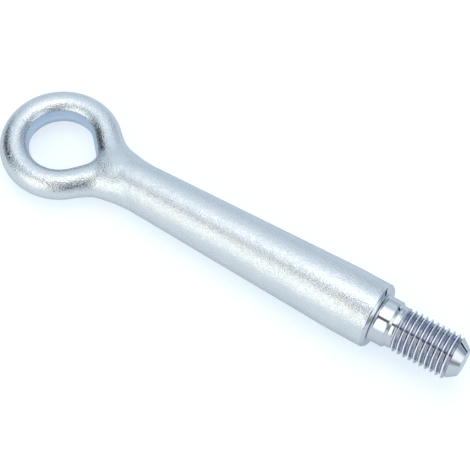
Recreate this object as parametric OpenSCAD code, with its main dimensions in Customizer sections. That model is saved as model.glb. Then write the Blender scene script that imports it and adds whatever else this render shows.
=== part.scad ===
// Tow eye: a forged steel ring on a tapered shank, with a turned shoulder, pilot and screw thread.
// It lies on its shank, thread toward +X, ring toward -X, ring plane level across.
// All lengths are in millimetres.

/* [Show] */
// Piece to show

/* [Ring] */
// Diameter of the bar that the ring is made of
bar_d = 13; // [11:0.1:13.6]
// Diameter of the ring along the middle of its bar
ring_d = 40; // [38:0.5:48]
// Diameter of the trimmed hole through the ring
hole_d = 28; // [27.4:0.1:29]
// Radius of the hole's narrow end, beside the shank
crotch_r = 5.5; // [4:0.1:7]

/* [Neck] */
// Angle of each arm's root on the ring, from the shank
arm_angle = 46.5; // [42:0.5:52]
// Diameter of each arm where the two meet inside the neck
arm_end_d = 16; // [14:0.1:18]
// Size of the blend between arms and shank, at mid height
neck_blend = 9.1; // [5:0.1:10]
// Size of the same blend at the top and bottom
neck_blend_top = 1.5; // [1:0.1:2]
// Size of the blend between the two arms
crotch_blend = 4.8; // [2:0.2:6]

/* [Shank] */
// Distance from the ring's centre to the shoulder face
reach = 157.3; // [130:0.1:190]
// Diameter of the shank at the neck
neck_d = 21.3; // [19:0.1:24]
// Diameter of the shank at the shoulder
shank_d = 28.4; // [26:0.1:30]
// Length of the shank that keeps its full diameter
full_l = 16.3; // [8:0.1:30]
// Radial width of the chamfer round the shoulder
rim_chamfer = 1.1; // [0.4:0.1:1.6]

/* [Screw] */
// Diameter of the plain pilot beside the shoulder
pilot_d = 20.4; // [20.1:0.1:21.5]
// Distance from the shoulder face to the pilot's end
pilot_l = 6.2; // [4:0.1:9]
// Radius of the fillet between shoulder and pilot
pilot_fillet = 1.1; // [0.5:0.1:1.4]
// Diameter over the thread's crests, a metric 20 thread
thread_d = 19.7; // [19.5:0.05:19.9]
// Thread pitch
pitch = 2.5; // [2.5:0.5:2.5]
// Distance from the shoulder face to the tip
spigot_l = 38.8; // [30:0.1:50]
// Diameter of the tip's flat end
tip_d = 12; // [9:0.1:14]
// Angle of the tip's cone from the axis
tip_angle = 36.5; // [30:0.5:45]

/* [Hidden] */
round_fn = 96;
bar_r = bar_d / 2;
ring_r = ring_d / 2;
hole_r = hole_d / 2;
arm_end_r = arm_end_d / 2;
neck_r = neck_d / 2;
shank_r = shank_d / 2;
pilot_r = pilot_d / 2;
thread_r = thread_d / 2;
tip_r = tip_d / 2;

// neck: u runs from the ring's centre along the shank, v across it, z up
neck_u = 36;
shank_cone_l = reach - full_l - neck_u;
taper = (shank_r - neck_r) / shank_cone_l;
nose_u = 32;
nose_r = neck_r - 0.52;
nose_slope = 0.185;
nose_blend = 1.2;
blend_h = neck_r - 1;
arm_u = ring_r * cos(arm_angle);
arm_v = ring_r * sin(arm_angle);
arms_meet_u = ring_r / cos(arm_angle);
loft_angle = arm_angle + 7;
bury = 0.06;
exact_u = 44;
loft_u = exact_u + 8;
loft_rings = 52;
loft_points = 40;

// hole: a circle and a smaller one, with the two tangents between them
hole_tip_u = 16.9;
narrow_u = hole_tip_u - crotch_r;
tangent_angle = acos((hole_r - crotch_r) / narrow_u);

// screw: a blank of the pitch diameter, rolled into a thread
thread_h = pitch * cos(30);
blank_r = thread_r - 0.6495 * pitch / 2 + 0.1;
root_r = thread_r - 17 / 24 * thread_h;
crest_w = pitch / 8;
root_w = pitch / 4;
flank_w = (pitch - crest_w - root_w) / 2;
pilot_chamfer = pilot_r - blank_r;
thread_x0 = 8.6;
thread_runout = 1.2 * pitch;
crest_phase = 9.59;
tip_cone_x = spigot_l - (thread_r - tip_r) / tan(tip_angle);
thread_x1 = spigot_l - (root_r - tip_r) / tan(tip_angle);
thread_steps = 88;
thread_sides = 36;

// rest: the cone of the shank lies along the floor
tilt = atan(taper);
floor_r = shank_r + full_l * taper;
lift = floor_r * cos(tilt);
back_x = -reach * cos(tilt) - ring_r * cos(tilt) - bar_r;
front_x = spigot_l * cos(tilt) + tip_r * sin(tilt);
slide = -(back_x + front_x) / 2;

function clamp(t) = max(0, min(1, t));

function ease(t) = t * t * (3 - 2 * t);

function smooth_min(a, b, k) =
    let (h = clamp(0.5 + 0.5 * (b - a) / k))
    b * (1 - h) + a * h - k * h * (1 - h);

// distance outside one arm, a tube that grows from the ring to where the arms meet
function arm_gap(u, v, z) =
    let (
        du = arms_meet_u - arm_u,
        t = clamp(((u - arm_u) * du - (v - arm_v) * arm_v) / (du * du + arm_v * arm_v))
    )
    norm([u - arm_u - t * du, v - arm_v + t * arm_v, z]) - bar_r - (arm_end_r - bar_r) * ease(t);

// distance outside the ring's bar where it is still a plain ring
function ring_gap(u, v, z) = norm([norm([u, v]) - ring_r, z]) - bar_r;

// radius of the shank, which draws in a little more just before the ring
function shank_line(u) =
    smooth_min(neck_r + taper * (u - neck_u), nose_r + nose_slope * (u - nose_u), nose_blend);

// distance outside the shank and its rounded inner end
function shank_gap(u, v, z) = norm([min(u - nose_u, 0), v, z]) - shank_line(max(u, nose_u));

// size of the neck's blend, which fades toward the top and bottom
function blend_at(z) =
    neck_blend_top + (neck_blend - neck_blend_top) * clamp(1 - pow(z / blend_h, 2));

// distance outside the whole forging beside the neck, all of it blended
function forging_gap(u, v, z) =
    let (
        s = abs(v),
        own = arm_gap(u, s, z),
        near = atan2(s, u) < arm_angle ? own : min(own, ring_gap(u, s, z)),
        arms = smooth_min(near, arm_gap(u, -s, z), crotch_blend)
    )
    smooth_min(arms, shank_gap(u, v, z), blend_at(z)) + bury + max(0, u - loft_u + 1) / 2;

// point at distance d from a section's middle, toward angle side
function section_point(turn, mid, side, d) =
    [(mid + d * cos(side)) * cos(turn), (mid + d * cos(side)) * sin(turn), d * sin(side)];

// distance from a section's middle to the surface, by halving
function surface_at(turn, mid, side, low, high, n) =
    n == 0 ? (low + high) / 2 :
    let (
        half = (low + high) / 2,
        p = section_point(turn, mid, side, half)
    )
    forging_gap(p[0], p[1], p[2]) < 0
        ? surface_at(turn, mid, side, half, high, n - 1)
        : surface_at(turn, mid, side, low, half, n - 1);

// farthest that a ray may go: the loft's end on the shank's side, the hole's middle on the other
function reach_of(turn, mid, side) =
    cos(side) > 0.02
        ? min(40, (loft_u / cos(turn) - mid) / cos(side))
        : cos(side) < -0.02 ? min(40, (mid - 3) / -cos(side)) : 40;

function neck_section(turn) =
    let (mid = ring_r / cos(max(0, arm_angle - abs(turn))))
    [for (i = [0:loft_points - 1])
        let (
            side = 360 * i / loft_points,
            d = surface_at(turn, mid, side, 0, reach_of(turn, mid, side), 22)
        )
        section_point(turn, mid, side, d)];

// end sections lie just inside the ring's own bar
function buried_section(turn) =
    [for (i = [0:loft_points - 1])
        section_point(turn, ring_r, 360 * i / loft_points, bar_r - 0.2)];

// side faces between rows of n points, and a cap on the first and the last row
function grid_faces(rows, n) = [
    [for (i = [0:n - 1]) i],
    for (j = [0:rows - 2])
        for (i = [0:n - 1])
            let (a = j * n + i, b = j * n + (i + 1) % n)
            each [[a, a + n, b + n], [a, b + n, b]],
    [for (i = [n - 1:-1:0]) (rows - 1) * n + i]
];

// the two arms, the crotch and the neck
module neck_loft() {
    half = loft_rings / 2;
    rows = [
        buried_section(loft_angle + 0.6),
        for (j = [half:-1:-half]) neck_section(loft_angle * j / half),
        buried_section(-loft_angle - 0.6)
    ];
    polyhedron(points = [for (row = rows) each row], faces = grid_faces(len(rows), loft_points));
}

// the plain part of the ring
module ring_bar() {
    rotate([0, 0, loft_angle])
        rotate_extrude(angle = 360 - 2 * loft_angle, $fn = round_fn)
            translate([ring_r, 0])
                circle(r = bar_r, $fn = 64);
}

// the hole through the ring, trimmed to a flat wall and narrower beside the shank
module ring_hole() {
    tall = 6 * bar_r;
    near = [hole_r * cos(tangent_angle), hole_r * sin(tangent_angle)];
    far = [narrow_u + crotch_r * cos(tangent_angle), crotch_r * sin(tangent_angle)];
    translate([0, 0, -tall / 2]) {
        cylinder(r = hole_r, h = tall, $fn = round_fn);
        translate([narrow_u, 0, 0])
            cylinder(r = crotch_r, h = tall, $fn = round_fn);
        linear_extrude(height = tall)
            polygon([[0, 0], [near[0], -near[1]], [far[0], -far[1]], [narrow_u, 0], far, near]);
    }
}

// the tapered shank, from inside the neck to the shoulder face
module shank() {
    start = exact_u - reach;
    rotate([0, 90, 0])
        rotate_extrude($fn = round_fn)
            polygon([
                [0, start],
                [shank_r - taper * (-full_l - start), start],
                [shank_r, -full_l],
                [shank_r, -rim_chamfer * 1.15],
                [shank_r - rim_chamfer, 0],
                [0, 0]
            ]);
}

// the plain pilot with its fillet and chamfer, and the blank beside it
module pilot() {
    rotate([0, 90, 0])
        rotate_extrude($fn = round_fn) {
            polygon([
                [0, -1],
                [pilot_r, -1],
                [pilot_r, pilot_l],
                [blank_r, pilot_l + pilot_chamfer],
                [blank_r, thread_x0],
                [0, thread_x0]
            ]);
            difference() {
                translate([pilot_r - 1, -1])
                    square([1 + pilot_fillet, 1 + pilot_fillet]);
                translate([pilot_r + pilot_fillet, pilot_fillet])
                    circle(r = pilot_fillet, $fn = 48);
            }
        }
}

// radius of the rolled thread at a place along the screw and an angle round it
function thread_profile(x, turn) =
    let (
        t = (x - crest_phase) / pitch - turn / 360,
        w = abs(t - round(t)) * pitch,
        f = clamp((w - crest_w / 2) / flank_w),
        grown = ease(clamp((x - thread_x0) / thread_runout)),
        full = thread_r - (thread_r - root_r) * f
    )
    blank_r + (full - blank_r) * grown;

function thread_radius(x, turn) =
    min(thread_profile(x, turn), tip_r + (spigot_l - x) * tan(tip_angle));

// the rolled right-hand thread, with its ends just inside the solids beside it
module thread() {
    step = (thread_x1 + 0.1 - thread_x0) / (thread_steps - 2);
    rows = [for (j = [0:thread_steps])
        let (
            x = thread_x0 + (j - 1) * step,
            sunk = j == 0 ? 0.3 : j > thread_steps - 1 ? 0.5 : bury
        )
        [for (i = [0:thread_sides - 1])
            let (
                turn = 360 * i / thread_sides,
                r = thread_radius(max(x, thread_x0), turn) - sunk
            )
            [x, r * cos(turn), r * sin(turn)]]];
    polyhedron(points = [for (row = rows) each row], faces = grid_faces(len(rows), thread_sides));
}

// the cone and flat end past the last turn of the thread
module tip() {
    translate([thread_x1 + 0.1, 0, 0])
        rotate([0, 90, 0])
            cylinder(
                h = spigot_l - thread_x1 - 0.1,
                r1 = tip_r + (spigot_l - thread_x1 - 0.1) * tan(tip_angle),
                r2 = tip_r,
                $fn = round_fn
            );
}

module tow_eye() {
    color([0.80, 0.83, 0.86])
        translate([slide, 0, lift])
            rotate([0, -tilt, 0]) {
                translate([-reach, 0, 0])
                    difference() {
                        union() {
                            ring_bar();
                            neck_loft();
                        }
                        ring_hole();
                    }
                shank();
                pilot();
                thread();
                tip();
            }
}

tow_eye();
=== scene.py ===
"""The tow eye's looks: the forging and its thread in full, blasted and turned zinc, light and camera."""

import math

import bmesh
import bpy
import numpy as np
from mathutils import Matrix, Vector


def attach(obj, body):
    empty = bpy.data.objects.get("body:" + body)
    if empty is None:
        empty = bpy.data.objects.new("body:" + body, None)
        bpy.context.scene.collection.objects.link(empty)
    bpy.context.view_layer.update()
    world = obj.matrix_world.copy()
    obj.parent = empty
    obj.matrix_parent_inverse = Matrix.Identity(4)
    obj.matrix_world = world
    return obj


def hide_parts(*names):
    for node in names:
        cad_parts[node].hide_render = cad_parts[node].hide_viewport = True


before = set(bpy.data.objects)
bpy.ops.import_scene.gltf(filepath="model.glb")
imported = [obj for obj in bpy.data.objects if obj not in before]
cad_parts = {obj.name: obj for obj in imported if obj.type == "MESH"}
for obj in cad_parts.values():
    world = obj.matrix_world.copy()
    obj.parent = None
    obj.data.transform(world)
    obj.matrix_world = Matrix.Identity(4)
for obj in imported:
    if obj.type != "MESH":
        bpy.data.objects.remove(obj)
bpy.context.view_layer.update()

MM = 0.001
NODE = "tow_eye"

# Sizes in millimetres, as in the part's source. u runs from the ring's centre along the shank.
BAR_R = 6.5
RING_R = 20.0
HOLE_R = 14.0
HOLE_TIP_U = 16.9
CROTCH_R = 5.5
ARM_ANGLE = math.radians(46.5)
ARM_END_R = 8.0
NECK_BLEND = 9.1
NECK_BLEND_TOP = 1.5
CROTCH_BLEND = 4.8
REACH = 157.3
NECK_R = 10.65
SHANK_R = 14.2
SHANK_NOSE_U = 36.0
NOSE_U = 32.0
NOSE_DROP = 0.52
NOSE_SLOPE = 0.185
NOSE_BLEND = 1.2
BLEND_HEIGHT = 9.65
FULL_L = 16.3
RIM_CHAMFER = 1.1
RIM_STRETCH = 1.15
PILOT_R = 10.2
PILOT_L = 6.2
PILOT_FILLET = 1.1
THREAD_R = 9.85
PITCH = 2.5
CREST_PHASE = 9.59
THREAD_X0 = 8.6
THREAD_RUNOUT = 1.2 * PITCH
SPIGOT_L = 38.8
TIP_R = 6.0
TIP_ANGLE = math.radians(36.5)
JOIN_U = 44.0

# The metric thread: twice the depth to its pitch diameter, in pitches, the depth of its root, in sharp
# heights, and how far the plain blank stands above the pitch diameter
PITCH_DEPTH = 0.6495
ROOT_DEPTH = 17 / 24
BLANK_SPARE = 0.1

# Worked out from them
TAPER = (SHANK_R - NECK_R) / (REACH - FULL_L - SHANK_NOSE_U)
TILT = math.atan(TAPER)
LIFT = (SHANK_R + FULL_L * TAPER) * math.cos(TILT)
BACK_X = -(REACH + RING_R) * math.cos(TILT) - BAR_R
FRONT_X = SPIGOT_L * math.cos(TILT) + TIP_R * math.sin(TILT)
SLIDE = -(BACK_X + FRONT_X) / 2
NARROW_U = HOLE_TIP_U - CROTCH_R
TANGENT_COS = (HOLE_R - CROTCH_R) / NARROW_U
TANGENT_SIN = math.sqrt(1 - TANGENT_COS**2)
RIM_X = -RIM_CHAMFER * RIM_STRETCH
BLANK_R = THREAD_R - PITCH_DEPTH * PITCH / 2 + BLANK_SPARE
THREAD_H = PITCH * math.cos(math.radians(30))
ROOT_R = THREAD_R - ROOT_DEPTH * THREAD_H
JOIN_R = NECK_R + TAPER * (JOIN_U - SHANK_NOSE_U)

# Small forms that only the looks have, in millimetres: the hole's land, draft and broken edge, the
# thread's rounding and the blend of thread and cone
HOLE_EDGE = 0.3
HOLE_LAND = 0.6
HOLE_DRAFT = 1.1
CREST_W = PITCH / 16
ROOT_W = PITCH / 12
CREST_ROUND = 0.32
ROOT_ROUND = 0.6
TIP_BLEND = 0.12

# Rounded corners of the turned end: how far each curve reaches before and after its corner, as one
# length along a plain face or as (x, r) down the chamfer, and where the next stretch starts
RIM_BEFORE = 0.35
RIM_AFTER = 0.24, 0.21
LIP_BEFORE = 0.22, 0.19
LIP_AFTER = 0.3
LIP_NEXT = 0.5
FILLET_NEXT = 0.05
BROW_BEFORE = 0.12
BROW_AFTER = 0.1
FOOT_BEFORE = 0.15
FOOT_AFTER = 0.2
FOOT_NEXT = 0.3
TIP_EDGE = 0.4

# Mesh fineness: points round the axis, and along each stretch
SIDES = 120
RING_SECTIONS = 76
SECTION_RAYS = 44
WALL_STEPS = 9
WALL_COLUMNS = WALL_STEPS + 3
EDGE_POINTS = 5
BEND_POINTS = 4
CONE_POINTS = 76
FULL_POINTS = 12
FACE_POINTS = 5
FILLET_POINTS = 9
PLAIN_POINTS = 8
BLANK_POINTS = 5
HALVINGS = 34

# Lengths that count as none: a point's radius and the flat end's thickness in millimetres, how near
# points weld and how short an edge may be in metres
POINT_R = 1e-4
END_SPARE = 1e-3
WELD = 2e-6
SLIVER = 1e-7

# Rows of the thread, in pitches from a crest to the root
CREST_TO_ROOT = (0, 0.03, 0.055, 0.08, 0.105, 0.14, 0.19, 0.24, 0.28, 0.32, 0.355, 0.39, 0.425, 0.46)

# How the rays of a section are cast: how they crowd toward the hole's edge, how far they may reach, how
# far they stay from the ring's centre and from the broken edge, which ones are too steep to meet a wall
# beside them, and which sections may meet the plane where the shank joins
RAY_CROWDING = 1.15
RAY_REACH = 40
RING_REACH = 14.0
CENTRE_SPARE = 3
EDGE_SPARE = HOLE_EDGE * 1.4
STEEP_COS = 0.02
FACING_ANGLE = math.pi / 3

# Which material a face has
FORGED, WALL, TURNED = 0, 1, 2

# The thread's groove depth, which sets its painted groove shade, its painted crest highlight and its rolled
# bump, starts this far after the thread itself
GROOVE_LATE = 1

# Where the finish changes along the frame's X, in metres: the hazy shank, and the screw, whose crests carry
# a painted highlight
HAZE_START = -0.062, -0.040
HAZE_END = 0.020, 0.055
HAZE_LEFT = 0.4
SCREW_START = 0.0815, 0.0835
SCREW_END = 0.1055, 0.1065

# Colours of the zinc, each surface between two tints
MIRROR_TINT = (0.68, 0.73, 0.78, 1)
BLASTED_TINTS = (0.535, 0.572, 0.592), (0.570, 0.590, 0.605)
# The hole's wall: darker and bluer, partly thicker passivation and partly painted shade of the shadowed
# floor it mirrors
PUNCHED_TINTS_WITH_PAINTED_SHADE = (0.44, 0.53, 0.64), (0.46, 0.55, 0.66)
TURNED_TINTS = (0.47, 0.505, 0.53), (0.495, 0.505, 0.535)
# Painted shade in the thread's grooves, and a painted highlight on its crests
GROOVE_PAINTED_SHADE_TINTS = (0.37, 0.385, 0.455), (0.45, 0.465, 0.52)
CREST_PAINTED_HIGHLIGHT = (0.84, 0.85, 0.86)

# Noise of the finishes: how large its features are in metres, its detail and its roughness
BLASTED_PATCH = 0.012, 3.0, 0.5
BLASTED_DIMPLE = 0.003, 2.0, 0.5
BLASTED_GRAIN = 0.0007, 2.0, 0.6
BLASTED_PIT = 0.0005, 1.0, 0.5
PUNCHED_PATCH = 0.006, 3.0, 0.5
PUNCHED_GRAIN = 0.0009, 2.0, 0.6
TURNED_PATCH = 0.004, 2.0, 0.5
TURNED_GRAIN = 0.0004, 2.0, 0.5
ROLLED_GRAIN = 0.0009, 2.0, 0.6

# Between which values of the noise the tint changes, and between which groove depths the crests' painted
# highlight gives way to the grooves' painted shade
PATCH_SPAN = 0.3, 0.7
TURNED_SPAN = 0.35, 0.65
GROOVE_SPAN = 0.08, 0.3

# Between which values of the noise the metal's roughness changes, and from which roughness to which
RING_GLOSS = 0.48, 0.54, 0.10, 0.285
SHANK_GLOSS = 0.42, 0.58, 0.25, 0.43
PUNCHED_GLOSS = 0.3, 0.7, 0.20, 0.25
TURNED_GLOSS = 0.3, 0.7, 0.03, 0.05

# How deep the bumps are, in metres, and how strong
DIMPLE_DEPTH = 0.00015
GRAIN_DEPTH = 0.00020
PUNCHED_DEPTH = 0.00003
ROLLED_DEPTH = 0.00003
TURNED_DEPTH = 0.000008
TURNED_STRENGTH = 0.5
SHANK_STRENGTH = 0.75

# The floor, in metres, and its colours
FLOOR_HALF = 6.0
PAPER = (0.50, 0.50, 0.50, 1)
PAPER_GLOW = (0.53, 0.59, 0.64, 1)
PAPER_ROUGHNESS = 0.9

# The camera's place and turn, fitted to the photograph's outline
CAMERA_AT = Vector((0.17719511, -0.32208353, 0.67379255))
CAMERA_RIGHT = Vector((0.84826196, 0.52848647, 0.03396625))
CAMERA_UP = Vector((-0.47631289, 0.73334048, 0.48511624))
CAMERA_LENS = 138.7078
SENSOR = 36.0

# The room's colour, how bright it is near the floor and overhead, and between which heights that changes
ROOM = (0.93, 1.05, 1.17)
HORIZON = 0.75
OVERHEAD = 1.13
RISE = 0.05, 0.5

# How far away the soft boxes and cards stand, in metres, and how far along X the direction of the card
# is moved that makes the narrow dark line on pilot and thread
SOFTBOX_DISTANCE = 1.2
FLAG_DISTANCE = 0.9
SLIT_SHIFT = 0.08
ALONG = Vector((1, 0, 0))
ACROSS = Vector((0, 1, 0))


def smooth_min(a, b, k):
    h = np.clip(0.5 + 0.5 * (b - a) / k, 0, 1)
    return b * (1 - h) + a * h - k * h * (1 - h)


def ease(t):
    return t * t * (3 - 2 * t)


def arm_gap(u, v, z):
    """Distance outside one arm, a tube that grows from the ring to where the arms meet."""
    start_u, start_v = RING_R * math.cos(ARM_ANGLE), RING_R * math.sin(ARM_ANGLE)
    du = RING_R / math.cos(ARM_ANGLE) - start_u
    t = np.clip(((u - start_u) * du - (v - start_v) * start_v) / (du**2 + start_v**2), 0, 1)
    away = np.sqrt((u - start_u - t * du) ** 2 + (v - start_v + t * start_v) ** 2 + z**2)
    return away - BAR_R - (ARM_END_R - BAR_R) * ease(t)


def forging_gap(u, v, z):
    """Distance outside the ring, its arms and the shank's rounded end, all of them blended."""
    side = np.abs(v)
    ring = np.hypot(np.hypot(u, side) - RING_R, z) - BAR_R
    own = np.where(np.arctan2(side, u) < ARM_ANGLE, arm_gap(u, side, z), ring)
    arms = smooth_min(own, arm_gap(u, -side, z), CROTCH_BLEND)
    along = np.maximum(u, NOSE_U)
    cone = NECK_R + TAPER * (along - SHANK_NOSE_U)
    nose = NECK_R - NOSE_DROP + NOSE_SLOPE * (along - NOSE_U)
    shank = np.sqrt(np.minimum(u - NOSE_U, 0) ** 2 + v**2 + z**2) - smooth_min(cone, nose, NOSE_BLEND)
    fade = np.clip(1 - (z / BLEND_HEIGHT) ** 2, 0, 1)
    return smooth_min(arms, shank, NECK_BLEND_TOP + (NECK_BLEND - NECK_BLEND_TOP) * fade)


def halved(gap, low, high):
    """Where gap turns positive between low and high, found by halving."""
    low, high = np.broadcast_arrays(np.asarray(low, float), np.asarray(high, float))
    low, high = low.copy(), high.copy()
    for _ in range(HALVINGS):
        mid = (low + high) / 2
        inside = gap(mid) < 0
        low = np.where(inside, mid, low)
        high = np.where(inside, high, mid)
    return (low + high) / 2


def hole_radius(turn):
    """How far the hole's wall is from the ring's centre, in direction turn."""
    turn = abs(turn)
    tangent_turn = math.acos(TANGENT_COS)
    if turn > tangent_turn:
        return HOLE_R
    far_u = NARROW_U + CROTCH_R * TANGENT_COS
    far_v = CROTCH_R * TANGENT_SIN
    if turn > math.atan2(far_v, far_u):
        return HOLE_R / math.cos(tangent_turn - turn)
    return NARROW_U * math.cos(turn) + math.sqrt(CROTCH_R**2 - (NARROW_U * math.sin(turn)) ** 2)


def ray_reach(side, c, mid, turn):
    """How far the rays of a section may go: to the plane where the shank joins, and short of the centre."""
    lean = np.cos(side)
    to_join = (JOIN_U / max(c, STEEP_COS) - mid) / np.maximum(lean, STEEP_COS)
    far = np.where(lean > STEEP_COS, to_join, RAY_REACH)
    far = np.clip(far, 0, RAY_REACH) if abs(turn) < FACING_ANGLE else np.full_like(side, RING_REACH)
    to_centre = (mid - CENTRE_SPARE) / np.maximum(-lean, STEEP_COS)
    return np.minimum(far, np.where(lean < -STEEP_COS, to_centre, RAY_REACH))


def section(turn):
    """Half a section of the forging through the ring's axis, as (distance, height), in three stretches:
    from its outer end over the top, round the hole's broken edge, and down the wall to its middle."""
    c, s = math.cos(turn), math.sin(turn)
    mid = RING_R / math.cos(max(0.0, ARM_ANGLE - abs(turn)))
    wall = hole_radius(turn)
    rim = wall + HOLE_DRAFT
    rim_z = float(halved(lambda h: forging_gap(rim * c, rim * s, h), 0.0, RING_REACH))
    rim_side = math.atan2(rim_z, rim - mid)
    joins = abs(math.tan(turn)) * JOIN_U < JOIN_R and c > 0
    if joins:
        end_z = math.sqrt(JOIN_R**2 - (JOIN_U * math.tan(turn)) ** 2)
        end_side = math.atan2(end_z, JOIN_U / c - mid)
    else:
        end_side = 0.0
    t = np.linspace(0, 1, SECTION_RAYS)
    side = end_side + (rim_side - end_side) * (1 - (1 - t) ** RAY_CROWDING)
    d = halved(
        lambda r: forging_gap((mid + r * np.cos(side)) * c, (mid + r * np.cos(side)) * s, r * np.sin(side)),
        0.0,
        ray_reach(side, c, mid, turn),
    )
    top = np.stack([mid + d * np.cos(side), d * np.sin(side)], 1)
    if joins:
        top[0] = JOIN_U / c, end_z
    corner = np.array([rim, rim_z])
    land = np.array([wall, HOLE_LAND])
    top = top[np.hypot(*(top - corner).T) > EDGE_SPARE]
    edge = edge_arc(top[-1], corner, land)
    flank = edge[-1] + (land - edge[-1]) * np.linspace(0, 1, WALL_STEPS)[1:, None]
    down = np.stack([[wall] * 2, [HOLE_LAND / 2, 0]], 1)
    return resampled(top, SECTION_RAYS), edge, np.concatenate([flank, down])


def quadratic(start, corner, end, n):
    """n points of the curve from start to end that turns at corner."""
    t = np.linspace(0, 1, n)[:, None]
    return (1 - t) ** 2 * start + 2 * t * (1 - t) * corner + t**2 * end


def edge_arc(before, corner, after):
    """The hole's broken edge: a small curve from the outer face to the wall."""
    start = corner + (before - corner) / np.linalg.norm(before - corner) * HOLE_EDGE
    end = corner + (after - corner) / np.linalg.norm(after - corner) * HOLE_EDGE
    return quadratic(start, corner, end, EDGE_POINTS)


def resampled(line, n):
    """The same line with n points, evenly spaced along it."""
    run = np.r_[0, np.cumsum(np.hypot(*np.diff(line, axis=0).T))]
    at = np.linspace(0, run[-1], n)
    return np.stack([np.interp(at, run, line[:, 0]), np.interp(at, run, line[:, 1])], 1)


def section_line(turn):
    """A whole section as points in (u, v, z): over the top, through the hole's wall and back below."""
    half = np.concatenate(section(turn))
    both = np.concatenate([half, half[-2::-1] * [1, -1]])
    return np.stack([both[:, 0] * math.cos(turn), both[:, 0] * math.sin(turn), both[:, 1]], 1)


def ring_and_neck():
    """Sections all round the ring. Those that face the shank end on its first circle."""
    quarter = np.radians(np.arange(-90, 90.1, 360 / SIDES))
    facing = np.arctan(JOIN_R * np.sin(quarter) / JOIN_U)
    around = np.linspace(facing[-1], math.pi, RING_SECTIONS + 1)[1:]
    turns = np.concatenate([facing, around, -around[-2::-1]])
    rows = np.stack([section_line(t) for t in turns])
    rows[..., 0] -= REACH
    points, faces = grid(rows, close_rows=True)
    middle = rows.shape[1] // 2
    column = faces[:, 0] % rows.shape[1]
    kinds = np.where(np.abs(column + 0.5 - middle) < WALL_COLUMNS, WALL, FORGED)
    return points, faces, kinds


def grid(rows, close_rows=False, close_columns=False):
    """Vertices and quads of a table of points."""
    count, n = rows.shape[:2]
    index = np.arange(count * n).reshape(count, n)
    if close_rows:
        index = np.concatenate([index, index[:1]])
    if close_columns:
        index = np.concatenate([index, index[:, :1]], 1)
    a, b, c, d = index[:-1, :-1], index[1:, :-1], index[1:, 1:], index[:-1, 1:]
    return rows.reshape(-1, 3), np.stack([a, b, c, d], -1).reshape(-1, 4)


def turned(profile):
    """A profile of (x, r) points, turned round the axis. It starts at the top, as the sections do."""
    turn = np.radians(np.arange(SIDES) * 360 / SIDES)
    x, r = np.array(profile).T
    x, r = x[:, None], r[:, None]
    rows = np.stack([np.repeat(x, SIDES, 1), r * np.sin(turn), r * np.cos(turn)], -1)
    return grid(rows, close_columns=True)


def arc(cx, cr, radius, start, end, n):
    """Points of an arc in the (x, r) plane, angles in degrees."""
    a = np.radians(np.linspace(start, end, n))
    return [(cx + radius * math.cos(t), cr + radius * math.sin(t)) for t in a]


def bend(start, corner, end):
    """A small curve in the (x, r) plane, from start to end, that turns at corner."""
    return [tuple(p) for p in quadratic(*map(np.array, (start, corner, end)), BEND_POINTS)]


def level(r, start, end, n):
    """Points of a plain cylinder's line from x = start to end."""
    return [(x, r) for x in np.linspace(start, end, n)]


def shank_profile():
    cone_x = np.linspace(JOIN_U - REACH, -FULL_L, CONE_POINTS)
    cone = [(x, SHANK_R - TAPER * (-FULL_L - x)) for x in cone_x]
    return cone + level(SHANK_R, -FULL_L, RIM_X - RIM_BEFORE, FULL_POINTS)[1:]


def turned_profile():
    """From the shoulder's chamfer over its face, the fillet and the pilot to the thread's blank."""
    face_r = SHANK_R - RIM_CHAMFER
    fillet_r = PILOT_R + PILOT_FILLET
    rim_end = RIM_X + RIM_AFTER[0], SHANK_R - RIM_AFTER[1]
    rim = bend((RIM_X - RIM_BEFORE, SHANK_R), (RIM_X, SHANK_R), rim_end)
    lip = bend((-LIP_BEFORE[0], face_r + LIP_BEFORE[1]), (0, face_r), (0, face_r - LIP_AFTER))
    face = [(0, r) for r in np.linspace(face_r - LIP_NEXT, fillet_r + FILLET_NEXT, FACE_POINTS)]
    fillet = arc(PILOT_FILLET, fillet_r, PILOT_FILLET, 180, 270, FILLET_POINTS)
    brow_x = PILOT_L - BROW_BEFORE
    plain = level(PILOT_R, PILOT_FILLET, brow_x, PLAIN_POINTS)[1:]
    brow = bend((brow_x, PILOT_R), (PILOT_L, PILOT_R), (PILOT_L + BROW_AFTER, PILOT_R - BROW_AFTER))
    foot_x = PILOT_L + (PILOT_R - BLANK_R)
    foot_start = foot_x - FOOT_BEFORE, BLANK_R + FOOT_BEFORE
    foot = bend(foot_start, (foot_x, BLANK_R), (foot_x + FOOT_AFTER, BLANK_R))
    blank = level(BLANK_R, foot_x + FOOT_NEXT, THREAD_X0, BLANK_POINTS)
    return rim + lip + face + fillet + plain + brow + foot + blank


def cone_radius(x):
    """Radius of the cone at the thread's end."""
    return TIP_R + (SPIGOT_L - x) * math.tan(TIP_ANGLE)


def thread_radius(x, turn):
    """Radius of the rolled right-hand thread at x, at angle turn from +Y toward +Z."""
    t = (x - CREST_PHASE) / PITCH - turn / (2 * math.pi)
    w = np.abs(t - np.round(t)) * PITCH
    f = (w - CREST_W / 2) / ((PITCH - CREST_W - ROOT_W) / 2)
    crest_lift, root_lift = CREST_ROUND / 4, ROOT_ROUND / 4
    f = smooth_min(-smooth_min(-f, 0 * f, CREST_ROUND), 1 + 0 * f, ROOT_ROUND)
    f = np.clip((f - crest_lift) / (1 - crest_lift - root_lift), 0, 1)
    grown = ease(np.clip((x - THREAD_X0) / THREAD_RUNOUT, 0, 1))
    full = BLANK_R + (THREAD_R - (THREAD_R - ROOT_R) * f - BLANK_R) * grown
    return smooth_min(full, cone_radius(x), TIP_BLEND)


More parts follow.
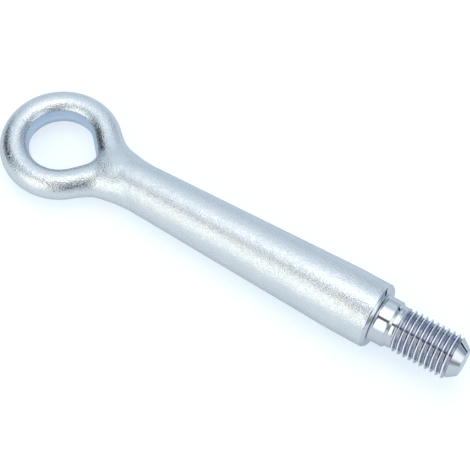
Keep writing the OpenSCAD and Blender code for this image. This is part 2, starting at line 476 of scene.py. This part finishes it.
def thread():
    """Rows that follow the helix, so that its crests and roots lie along the mesh."""
    down = np.array(CREST_TO_ROOT)
    offsets = np.concatenate([down, [0.5], 1 - down[:0:-1]])
    first = math.floor((THREAD_X0 - CREST_PHASE) / PITCH) - 1
    last = math.ceil((SPIGOT_L - CREST_PHASE) / PITCH)
    s = np.concatenate([CREST_PHASE + PITCH * (k + offsets) for k in range(first, last + 1)])
    turn = np.radians(np.arange(SIDES + 1) * 360 / SIDES)
    x = np.clip(s[:, None] + PITCH * turn / (2 * math.pi), THREAD_X0, SPIGOT_L)
    r = thread_radius(x, turn[None, :] * np.ones_like(x))
    return grid(np.stack([x, r * np.cos(turn), r * np.sin(turn)], -1))


def tip():
    """The flat end. Its last circle is so small that it welds to a point."""
    r = thread_radius(np.array([SPIGOT_L]), np.array([0.0]))[0]
    return turned([(SPIGOT_L, r), (SPIGOT_L, r - TIP_EDGE), (SPIGOT_L, r / 2), (SPIGOT_L, POINT_R)])


def lying(points):
    """From the part's own axes to the frame, where it lies on its shank, in metres."""
    c, s = math.cos(TILT), math.sin(TILT)
    x, y, z = points.T
    return np.stack([x * c - z * s + SLIDE, y, x * s + z * c + LIFT], 1) * MM


def joined(parts):
    """One list of points, of faces and of their materials, from several."""
    points, faces, kinds, at = [], [], [], 0
    for p, f, k in parts:
        points.append(p)
        faces.append(f + at)
        kinds.append(np.broadcast_to(k, len(f)))
        at += len(p)
    return np.concatenate(points), np.concatenate(faces), np.concatenate(kinds)


def groove_depth(points):
    """How deep a point lies in a groove of the thread: 0 on the crests, 1 at the root."""
    x, y, z = points.T
    full = np.minimum(THREAD_R, cone_radius(x))
    depth = np.where(x > THREAD_X0 + GROOVE_LATE, (full - np.hypot(y, z)) / (THREAD_R - ROOT_R), 0)
    return np.clip(np.where(x > SPIGOT_L - END_SPARE, 0, depth), 0, 1)


def make_mesh(name, parts, materials):
    """The part's mesh, welded, with its groove depth for the thread's painted shade and highlight and its
    rolled bump.
    """
    points, faces, kinds = joined(parts)
    mesh = bpy.data.meshes.new(name)
    mesh.from_pydata(lying(points).tolist(), [], faces.tolist())
    for m in materials:
        mesh.materials.append(m)
    mesh.polygons.foreach_set("material_index", kinds.tolist())
    mesh.attributes.new("groove", "FLOAT", "POINT").data.foreach_set("value", groove_depth(points))
    bm = bmesh.new()
    bm.from_mesh(mesh)
    bmesh.ops.remove_doubles(bm, verts=bm.verts, dist=WELD)
    bmesh.ops.dissolve_degenerate(bm, dist=SLIVER, edges=bm.edges)
    bmesh.ops.recalc_face_normals(bm, faces=bm.faces)
    bm.to_mesh(mesh)
    bm.free()
    mesh.shade_smooth()
    return add_object(name, mesh)


def add_object(name, data):
    obj = bpy.data.objects.new(name, data)
    bpy.context.scene.collection.objects.link(obj)
    return obj


class Nodes:
    """A short way to write a material's nodes."""

    def __init__(self, name):
        self.material = bpy.data.materials.new(name)
        self.material.use_nodes = True
        self.tree = self.material.node_tree
        self.shader = self.tree.nodes["Principled BSDF"]
        self.place = self.tree.nodes.new("ShaderNodeTexCoord").outputs["Object"]

    def metal(self, colour, roughness, normal):
        """Bare metal whose reflections don't brighten much toward its outline."""
        self.shader.inputs["Metallic"].default_value = 1.0
        self.shader.inputs["Specular Tint"].default_value = MIRROR_TINT
        self.link(colour, self.shader.inputs["Base Color"])
        self.link(roughness, self.shader.inputs["Roughness"])
        self.link(normal, self.shader.inputs["Normal"])
        return self.material

    def link(self, source, target):
        self.tree.links.new(source, target)

    def noise(self, size, detail, roughness):
        """Noise whose features are about size metres across."""
        n = self.tree.nodes.new("ShaderNodeTexNoise")
        n.inputs["Scale"].default_value = 1 / size
        n.inputs["Detail"].default_value = detail
        n.inputs["Roughness"].default_value = roughness
        self.link(self.place, n.inputs["Vector"])
        return n.outputs["Fac"]

    def span(self, value, low, high, to_low, to_high):
        """Value eased from to_low, at or below low, to to_high, at or above high."""
        n = self.tree.nodes.new("ShaderNodeMapRange")
        n.interpolation_type = "SMOOTHSTEP"
        for key, v in zip(("From Min", "From Max", "To Min", "To Max"), (low, high, to_low, to_high)):
            n.inputs[key].default_value = v
        self.link(value, n.inputs["Value"])
        return n.outputs["Result"]

    def mix(self, fac, a, b):
        """Between a and b, each a colour or a socket."""
        n = self.tree.nodes.new("ShaderNodeMix")
        n.data_type = "RGBA"
        self.link(fac, n.inputs["Factor"])
        for key, v in (("A", a), ("B", b)):
            socket = [s for s in n.inputs if s.name == key and s.type == "RGBA"][0]
            if isinstance(v, tuple):
                socket.default_value = (*v, 1)
            else:
                self.link(v, socket)
        return [s for s in n.outputs if s.type == "RGBA"][0]

    def attribute(self, name):
        n = self.tree.nodes.new("ShaderNodeAttribute")
        n.attribute_name = name
        return n.outputs["Fac"]

    def axis(self, which):
        """One coordinate of the object itself, in metres."""
        n = self.tree.nodes.new("ShaderNodeSeparateXYZ")
        self.link(self.place, n.inputs["Vector"])
        return n.outputs[which]

    def times(self, a, b):
        n = self.tree.nodes.new("ShaderNodeMath")
        n.operation = "MULTIPLY"
        self.link(a, n.inputs[0])
        self.link(b, n.inputs[1])
        return n.outputs["Value"]

    def window(self, value, start, end, left=0):
        """1 between start and end, each a pair of places it eases between. left: what stays after end."""
        return self.times(self.span(value, *start, 0, 1), self.span(value, *end, 1, left))

    def bump(self, height, distance, strength=1.0, normal=None):
        n = self.tree.nodes.new("ShaderNodeBump")
        n.inputs["Distance"].default_value = distance
        if isinstance(strength, float):
            n.inputs["Strength"].default_value = strength
        else:
            self.link(strength, n.inputs["Strength"])
        self.link(height, n.inputs["Height"])
        if normal:
            self.link(normal, n.inputs["Normal"])
        return n.outputs["Normal"]


def blasted_zinc():
    """Shot-blasted and zinc plated forging. The ring keeps a bright grain, the shank's middle is hazier.
    Its roughness passes through about 0.27, where the renderer's denoiser stops smearing such a grain."""
    n = Nodes("blasted_zinc")
    pit = n.noise(*BLASTED_PIT)
    shank = n.window(n.axis("X"), HAZE_START, HAZE_END, HAZE_LEFT)
    tint = n.mix(n.span(n.noise(*BLASTED_PATCH), *PATCH_SPAN, 0, 1), *BLASTED_TINTS)
    roughness = n.mix(shank, n.span(pit, *RING_GLOSS), n.span(pit, *SHANK_GLOSS))
    dimpled = n.bump(n.noise(*BLASTED_DIMPLE), DIMPLE_DEPTH)
    strength = n.span(shank, 0, 1, 1, SHANK_STRENGTH)
    grained = n.bump(n.noise(*BLASTED_GRAIN), GRAIN_DEPTH, strength, dimpled)
    return n.metal(tint, roughness, grained)


def punched_zinc_with_painted_shade():
    """The hole's trimmed wall: smoother than the forging, and darker and bluer, partly from a thicker
    passivation and partly as painted shade of the shadowed floor it mirrors.
    """
    n = Nodes("punched_zinc_with_painted_shade")
    grain = n.noise(*PUNCHED_GRAIN)
    # Darker, bluer wall tint: partly passivation, partly painted shade
    tint = n.mix(n.span(n.noise(*PUNCHED_PATCH), *PATCH_SPAN, 0, 1), *PUNCHED_TINTS_WITH_PAINTED_SHADE)
    return n.metal(tint, n.span(grain, *PUNCHED_GLOSS), n.bump(grain, PUNCHED_DEPTH))


def turned_zinc():
    """Turned faces and the rolled thread: smooth, with a painted highlight on its crests and painted shade
    in its grooves.
    """
    n = Nodes("turned_zinc")
    patch = n.span(n.noise(*TURNED_PATCH), *TURNED_SPAN, 0, 1)
    groove = n.span(n.attribute("groove"), *GROOVE_SPAN, 0, 1)
    screw = n.window(n.axis("X"), SCREW_START, SCREW_END)
    # A painted highlight on the screw's crests, and painted shade down in its grooves
    crest_highlight = n.mix(screw, n.mix(patch, *TURNED_TINTS), CREST_PAINTED_HIGHLIGHT)
    tint = n.mix(groove, crest_highlight, n.mix(patch, *GROOVE_PAINTED_SHADE_TINTS))
    fine = n.noise(*TURNED_GRAIN)
    rolled = n.bump(n.noise(*ROLLED_GRAIN), ROLLED_DEPTH, n.span(groove, 0, 1, 0, 1))
    normal = n.bump(fine, TURNED_DEPTH, TURNED_STRENGTH, rolled)
    return n.metal(tint, n.span(fine, *TURNED_GLOSS), normal)


def make_camera():
    data = bpy.data.cameras.new("camera")
    data.lens = CAMERA_LENS
    data.sensor_width = SENSOR
    camera = add_object("camera", data)
    back = CAMERA_RIGHT.cross(CAMERA_UP).normalized()
    turn = Matrix((CAMERA_RIGHT.normalized(), CAMERA_UP.normalized(), back)).transposed()
    camera.matrix_world = Matrix.Translation(CAMERA_AT) @ turn.to_4x4()
    bpy.context.scene.camera = camera


def toward(side, up):
    """A direction seen from the part, in degrees to the right of the camera and above it."""
    back = CAMERA_RIGHT.cross(CAMERA_UP).normalized()
    a, e = math.radians(side), math.radians(up)
    return CAMERA_RIGHT * math.sin(a) + (CAMERA_UP * math.sin(e) + back * math.cos(e)) * math.cos(a)


def facing_part(obj, direction, distance, long_axis):
    """Puts obj in that direction, facing the part, with its first side along long_axis."""
    back = direction.normalized()
    side = (long_axis - back * long_axis.dot(back)).normalized()
    turn = Matrix((side, back.cross(side), back)).transposed()
    obj.matrix_world = Matrix.Translation(back * distance) @ turn.to_4x4()


def spread(degrees, distance):
    """How wide a thing is that fills that angle at that distance."""
    return 2 * distance * math.tan(math.radians(degrees) / 2)


def rectangle(name, w, h, material):
    """A flat mesh of half width w and half height h."""
    mesh = bpy.data.meshes.new(name)
    mesh.from_pydata([(-w, -h, 0), (w, -h, 0), (w, h, 0), (-w, h, 0)], [], [(0, 1, 2, 3)])
    mesh.materials.append(material)
    return add_object(name, mesh)


def make_floor():
    material = bpy.data.materials.new("paper")
    material.use_nodes = True
    shader = material.node_tree.nodes["Principled BSDF"]
    shader.inputs["Base Color"].default_value = PAPER
    shader.inputs["Roughness"].default_value = PAPER_ROUGHNESS
    shader.inputs["Emission Color"].default_value = PAPER_GLOW
    shader.inputs["Emission Strength"].default_value = 1.0
    rectangle("floor", FLOOR_HALF, FLOOR_HALF, material)


def card(name, direction, size, distance, long_axis):
    """A flat card of light or shade, its width and height in degrees. Gives a way to write its material,
    and half its width and height in metres."""
    n = Nodes(name)
    n.shader.inputs["Base Color"].default_value = (0, 0, 0, 1)
    n.shader.inputs["Roughness"].default_value = 1.0
    n.shader.inputs["Specular IOR Level"].default_value = 0.0
    n.shader.inputs["Emission Strength"].default_value = 1.0
    w, h = (spread(degrees, distance) / 2 for degrees in size)
    obj = rectangle(name, w, h, n.material)
    facing_part(obj, direction, distance, long_axis)
    obj.visible_camera = False
    return n, w, h


def softbox(name, direction, size, colour, soft):
    """A soft box that fades to the colour of the room. soft: how much of its left, right, lower and upper
    side the fading takes."""
    n, w, h = card(name, direction, size, SOFTBOX_DISTANCE, CAMERA_RIGHT)
    left, right, low, top = soft
    across = n.window(n.axis("X"), (-w, -w + 2 * w * left), (w - 2 * w * right, w))
    upward = n.window(n.axis("Y"), (-h, -h + 2 * h * low), (h - 2 * h * top, h))
    n.link(n.mix(n.times(across, upward), ROOM, colour), n.shader.inputs["Emission Color"])


def flag(name, direction, size, shade, distance=FLAG_DISTANCE, long_axis=CAMERA_RIGHT):
    """A dark or grey card that the camera doesn't see and the metal mirrors."""
    n = card(name, direction, size, distance, long_axis)[0]
    n.shader.inputs["Emission Color"].default_value = (*shade, 1)


def make_room():
    """A pale blue world that is darker near the floor."""
    world = bpy.data.worlds.new("studio")
    world.use_nodes = True
    nodes, links = world.node_tree.nodes, world.node_tree.links
    direction = nodes.new("ShaderNodeTexCoord")
    axes = nodes.new("ShaderNodeSeparateXYZ")
    links.new(direction.outputs["Generated"], axes.inputs["Vector"])
    rise = nodes.new("ShaderNodeMapRange")
    for key, v in zip(("From Min", "From Max", "To Min", "To Max"), (*RISE, HORIZON, OVERHEAD)):
        rise.inputs[key].default_value = v
    links.new(axes.outputs["Z"], rise.inputs["Value"])
    links.new(rise.outputs["Result"], nodes["Background"].inputs["Strength"])
    nodes["Background"].inputs["Color"].default_value = (*ROOM, 1)
    bpy.context.scene.world = world


def make_light():
    """Three soft boxes, and the dark and grey things of a studio that the metal mirrors between them."""
    softbox("softbox_above", toward(1, 44), (48, 56), (2.22, 2.24, 2.22), soft=(0.26, 0.3, 0.02, 0.5))
    softbox("softbox_left", toward(-42, -20), (52, 62), (1.98, 2.0, 1.92), soft=(0.4, 0.05, 0.3, 0.02))
    softbox("softbox_right", toward(50, -12), (36, 44), (1.8, 1.8, 1.8), soft=(0.3, 0.3, 0.2, 0.3))
    slit = toward(-15, 9.2) + SLIT_SHIFT * ALONG
    flag("flag_slit", slit, (84, 11.5), shade=(0.24, 0.24, 0.25), long_axis=ALONG)
    flag("flag_stand", toward(6, -30), (24, 30), shade=(0.02, 0.02, 0.03), distance=0.88)
    flag("flag_camera", toward(1, -18), (44, 52), shade=(0.55, 0.58, 0.62))
    flag("flag_side", toward(43, 34), (18, 26), shade=(0.05, 0.05, 0.06))
    flag("flag_corner", toward(39, -52), (15, 13), shade=(0.5, 0.5, 0.52))
    flag("flag_door", toward(-61, 97), (38, 58), shade=(0.04, 0.04, 0.05), long_axis=ACROSS)
    flag("flag_wall", Vector((0.52, 0.78, 0.34)), (70, 40), shade=(0.52, 0.61, 0.77))
    flag("flag_skirting", Vector((0.62, 0.78, 0.05)), (46, 10), shade=(0.01, 0.01, 0.02), distance=0.85)


make_camera()
make_floor()
make_room()
make_light()
eye = make_mesh(
    "tow_eye_forged",
    [
        ring_and_neck(),
        (*turned(shank_profile()), FORGED),
        (*turned(turned_profile()), TURNED),
        (*thread(), TURNED),
        (*tip(), TURNED),
    ],
    [blasted_zinc(), punched_zinc_with_painted_shade(), turned_zinc()],
)
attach(eye, "root")
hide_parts(NODE)
bpy.context.scene.view_settings.view_transform = "Standard"
